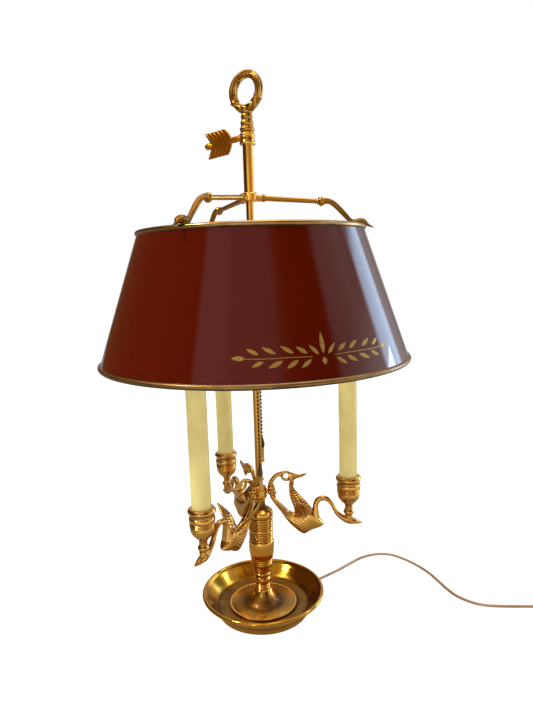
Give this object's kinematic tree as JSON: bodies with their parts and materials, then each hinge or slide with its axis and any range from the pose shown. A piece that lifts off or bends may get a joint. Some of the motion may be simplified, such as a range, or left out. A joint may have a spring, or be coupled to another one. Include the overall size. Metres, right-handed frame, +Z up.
{
  "type": "bouillotte lamp",
  "caption": "Brass table lamp with a dish base, swan arms and candles, and a metal shade that slides and turns on a round rod under a ring finial.",
  "frame": {"origin": "centre of the base underside, on the table", "axes": "+Z up along the rod; the first swan arm lies along +X, and the front is seen along +Y from a camera turned about 5 degrees to the right"},
  "size_m": [0.6349, 0.38, 0.6777],
  "materials": {
    "polished_brass": "polished, lacquered",
    "dish_brass": "polished, aged",
    "cast_brass": "cast, chased and polished",
    "shade_lacquer": "gloss lacquer",
    "gilt_roll": "gilt, satin",
    "candle_wax": "smooth wax",
    "wick_cotton": "braided cotton",
    "base_felt": "pressed felt",
    "ballast": "as cast",
    "plated_steel": "zinc plated",
    "chain_bronze": "dark bronze",
    "switch_black": "moulded",
    "holder_ceramic": "unglazed",
    "contact_brass": "stamped",
    "bulb_glass": "frosted",
    "bulb_cap": "rolled thread",
    "gold_flex": "clear over gold",
    "bush_black": "moulded"
  },
  "bodies": {
    "root": {"base_pad": "base_felt", "dish": "dish_brass", "weight": "ballast", "base_nut": "plated_steel", "stem_foot": "dish_brass", "stem_knop": "polished_brass", "stem_barrel": "polished_brass", "stem_drum": "polished_brass", "stem_neck": "polished_brass", "arm_hub": "polished_brass", "hub_cap": "polished_brass", "tie_rod": "plated_steel", "centre_rod": "polished_brass", "finial_neck": "polished_brass", "finial_ring": "cast_brass", "swan_arm_1": "cast_brass", "swan_arm_2": "cast_brass", "swan_arm_3": "cast_brass", "candle_cup_1": "cast_brass", "candle_cup_2": "cast_brass", "candle_cup_3": "cast_brass", "cup_screws": "plated_steel", "candle_1": "candle_wax", "candle_2": "candle_wax", "candle_3": "candle_wax", "wicks": "wick_cotton", "housing_cup": "polished_brass", "housing_lid": "polished_brass", "housing_nuts": "plated_steel", "chain_guides": "contact_brass", "switch_units": "switch_black", "socket_nipples": "plated_steel", "socket_shells": "polished_brass", "socket_liners": "holder_ceramic", "screw_shells": "contact_brass", "bulb_caps": "bulb_cap", "bulb_glass": "bulb_glass", "inner_lead": "gold_flex", "cord_bushing": "bush_black", "cord_run": "gold_flex", "cord_coil": "gold_flex", "cord_tail": "gold_flex", "plug_body": "gold_flex", "plug_blades": "contact_brass"},
    "collar": {"slide_collar": "polished_brass", "collar_ring": "polished_brass"},
    "shade": {"sleeve": "polished_brass", "spider_hub": "cast_brass", "spider_arm_1": "cast_brass", "spider_arm_2": "cast_brass", "spider_arm_3": "cast_brass", "shade_shell": "shade_lacquer", "shade_low_rim": "gilt_roll", "shade_top_rim": "gilt_roll"},
    "key": {"arrow_key": "cast_brass"},
    "front_pull": {"front_chain": "chain_bronze", "front_bell": "polished_brass"},
    "rear_pull": {"rear_chain": "chain_bronze", "rear_bell": "polished_brass"}
  },
  "joints": [
    {"name": "shade_height", "type": "slide", "parent": "root", "child": "collar", "axis": [0, 0, 1], "range_m": [-0.05, 0]},
    {"name": "shade_turn", "type": "hinge", "parent": "collar", "child": "shade", "pos_m": [0, 0, 0.595], "axis": [0, 0, 1], "continuous": true},
    {"name": "key_turn", "type": "hinge", "parent": "collar", "child": "key", "pos_m": [0, 0, 0.6037], "axis": [-0.7431, 0.6691, 0], "range_deg": [0, 360]},
    {"name": "front_pull", "type": "slide", "parent": "root", "child": "front_pull", "axis": [0, 0, -1], "range_m": [0, 0.008], "stiffness_N_per_m": 1000, "springref_m": -0.003},
    {"name": "rear_pull", "type": "slide", "parent": "root", "child": "rear_pull", "axis": [0, 0, -1], "range_m": [0, 0.008], "stiffness_N_per_m": 1000, "springref_m": -0.003}
  ]
}
